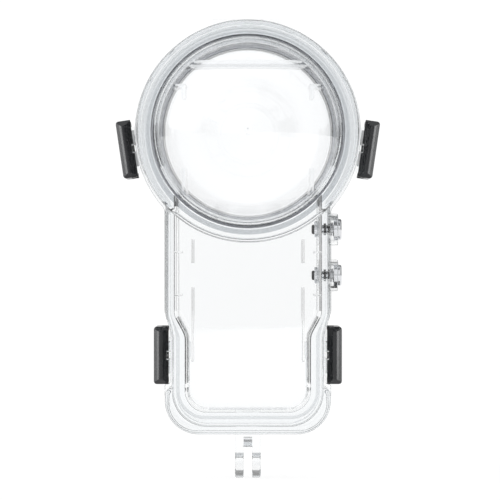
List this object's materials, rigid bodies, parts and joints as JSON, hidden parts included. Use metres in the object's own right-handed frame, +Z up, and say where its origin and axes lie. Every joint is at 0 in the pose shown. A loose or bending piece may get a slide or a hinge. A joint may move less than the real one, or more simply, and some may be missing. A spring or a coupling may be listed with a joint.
{
  "type": "dive housing",
  "caption": "Clear waterproof dive housing for a two-lens action camera, with a dome on each side, four latches, push buttons and a two-finger mount.",
  "frame": {"origin": "centre of the cross bore of the two-finger mount, midway between the fingers", "axes": "+Z up along the housing's length, +X to the side with the push buttons along the mount's bore, front dome faces -Y"},
  "size_m": [0.0984, 0.096, 0.1721],
  "materials": {
    "clear_polycarbonate": "crystal-clear polished polycarbonate",
    "dome_clear": "optically clear polished dome",
    "clear_silicone": "translucent grey silicone",
    "grey_silicone": "smoke-grey silicone",
    "latch_nylon": "satin dark grey glass-filled nylon",
    "pin_steel": "stainless steel",
    "polished_steel": "polished stainless steel",
    "spring_steel": "drawn stainless wire",
    "black_rubber": "black rubber"
  },
  "bodies": {
    "housing": {"front_shell": "clear_polycarbonate", "front_dome": "dome_clear", "front_dome_seal": "clear_silicone", "front_dome_ring": "grey_silicone", "main_gasket": "clear_silicone", "camera_foot_pad": "clear_silicone", "camera_top_pad": "clear_silicone", "camera_side_pads": "clear_silicone", "button_o_rings": "black_rubber", "button_bushes": "latch_nylon", "button_upper_spring": "spring_steel", "button_lower_spring": "spring_steel"},
    "cover": {"rear_cover": "clear_polycarbonate", "rear_dome": "dome_clear", "rear_dome_seal": "clear_silicone", "rear_dome_ring": "grey_silicone", "latch_arm_pins": "pin_steel"},
    "arm_upper_right": {"latch_arm_upper_right": "latch_nylon", "lever_pin_upper_right": "pin_steel"},
    "lever_upper_right": {"latch_lever_upper_right": "latch_nylon"},
    "arm_upper_left": {"latch_arm_upper_left": "latch_nylon", "lever_pin_upper_left": "pin_steel"},
    "lever_upper_left": {"latch_lever_upper_left": "latch_nylon"},
    "arm_lower_right": {"latch_arm_lower_right": "latch_nylon", "lever_pin_lower_right": "pin_steel"},
    "lever_lower_right": {"latch_lever_lower_right": "latch_nylon"},
    "arm_lower_left": {"latch_arm_lower_left": "latch_nylon", "lever_pin_lower_left": "pin_steel"},
    "lever_lower_left": {"latch_lever_lower_left": "latch_nylon"},
    "button_upper": {"button_upper_cap": "polished_steel", "button_upper_shaft": "polished_steel", "button_upper_clip": "polished_steel", "button_upper_tip": "black_rubber"},
    "button_lower": {"button_lower_cap": "polished_steel", "button_lower_shaft": "polished_steel", "button_lower_clip": "polished_steel", "button_lower_tip": "black_rubber"}
  },
  "joints": [
    {"name": "cover_lift", "type": "slide", "parent": "housing", "child": "cover", "axis": [0, 1, 0], "range_m": [0, 0.03]},
    {"name": "arm_upper_right_swing", "type": "hinge", "parent": "cover", "child": "arm_upper_right", "pos_m": [0.04511, 0.013, 0.11584], "axis": [0.1461, 0, 0.9893], "range_deg": [0, 120]},
    {"name": "lever_upper_right_open", "type": "hinge", "parent": "arm_upper_right", "child": "lever_upper_right", "pos_m": [0.04551, -0.0015, 0.11578], "axis": [0.1461, 0, 0.9893], "range_deg": [0, 80]},
    {"name": "arm_upper_left_swing", "type": "hinge", "parent": "cover", "child": "arm_upper_left", "pos_m": [-0.04511, 0.013, 0.11584], "axis": [0.1461, 0, -0.9893], "range_deg": [0, 120]},
    {"name": "lever_upper_left_open", "type": "hinge", "parent": "arm_upper_left", "child": "lever_upper_left", "pos_m": [-0.04551, -0.0015, 0.11578], "axis": [0.1461, 0, -0.9893], "range_deg": [0, 80]},
    {"name": "arm_lower_right_swing", "type": "hinge", "parent": "cover", "child": "arm_lower_right", "pos_m": [0.0323, 0.013, 0.0392], "axis": [0, 0, 1], "range_deg": [0, 120]},
    {"name": "lever_lower_right_open", "type": "hinge", "parent": "arm_lower_right", "child": "lever_lower_right", "pos_m": [0.0327, -0.0015, 0.0392], "axis": [0, 0, 1], "range_deg": [0, 80]},
    {"name": "arm_lower_left_swing", "type": "hinge", "parent": "cover", "child": "arm_lower_left", "pos_m": [-0.0323, 0.013, 0.0392], "axis": [0, 0, -1], "range_deg": [0, 120]},
    {"name": "lever_lower_left_open", "type": "hinge", "parent": "arm_lower_left", "child": "lever_lower_left", "pos_m": [-0.0327, -0.0015, 0.0392], "axis": [0, 0, -1], "range_deg": [0, 80]},
    {"name": "button_upper_press", "type": "slide", "parent": "housing", "child": "button_upper", "axis": [-1, 0, 0], "range_m": [0, 0.0015], "stiffness_N_per_m": 800, "springref_m": -0.0015, "deforming": ["button_upper_spring"]},
    {"name": "button_lower_press", "type": "slide", "parent": "housing", "child": "button_lower", "axis": [-1, 0, 0], "range_m": [0, 0.0015], "stiffness_N_per_m": 800, "springref_m": -0.0015, "deforming": ["button_lower_spring"]}
  ],
  "couplings": [
    {"joint": "arm_upper_right_swing", "follows": "cover_lift", "rad_per_m": 69.813},
    {"joint": "arm_upper_left_swing", "follows": "cover_lift", "rad_per_m": 69.813},
    {"joint": "arm_lower_right_swing", "follows": "cover_lift", "rad_per_m": 69.813},
    {"joint": "arm_lower_left_swing", "follows": "cover_lift", "rad_per_m": 69.813}
  ]
}
